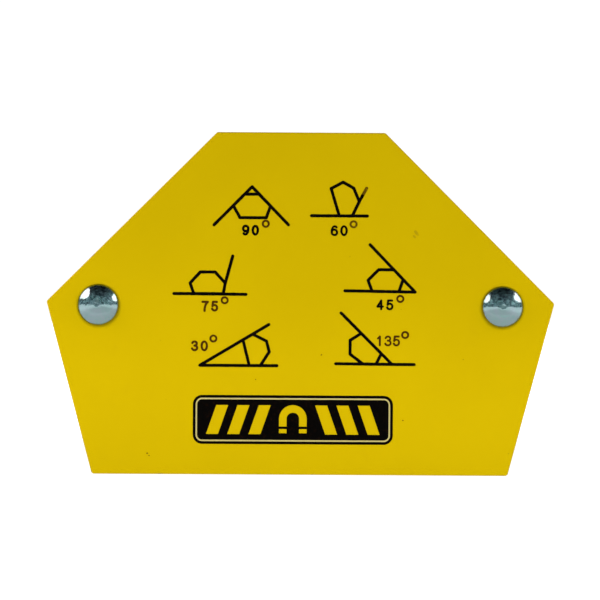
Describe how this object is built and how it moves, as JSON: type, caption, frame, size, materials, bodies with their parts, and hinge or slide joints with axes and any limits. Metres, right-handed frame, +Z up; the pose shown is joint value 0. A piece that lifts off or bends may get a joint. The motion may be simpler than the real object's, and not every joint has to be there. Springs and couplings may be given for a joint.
{
  "type": "welding magnet holder",
  "caption": "Flat hexagonal magnetic holder for welding: painted steel plates riveted over ferrite blocks, whose sloping edges hold steel work at set angles.",
  "frame": {"origin": "middle of the long side that the holder stands on, half way through its thickness", "axes": "+X to the right along that side, seen from the printed front; +Y from the front plate to the rear plate; +Z up"},
  "size_m": [0.1098, 0.0185, 0.0741],
  "materials": {
    "yellow_paint": "semi-gloss powder coat",
    "zinc_plate": "bright blue-white zinc plating",
    "black_moulding": "moulded, fine texture",
    "ferrite": "sintered and ground, matt",
    "black_ink": "screen-printed enamel ink"
  },
  "bodies": {
    "root": {"front_plate": "yellow_paint", "rear_plate": "yellow_paint", "spacer_frame": "black_moulding", "ferrite_block_lower_left": "ferrite", "ferrite_block_lower_right": "ferrite", "ferrite_block_upper": "ferrite", "rivet_left": "zinc_plate", "rivet_right": "zinc_plate", "spacer_sleeve_left": "zinc_plate", "spacer_sleeve_right": "zinc_plate"}
  },
  "joints": []
}
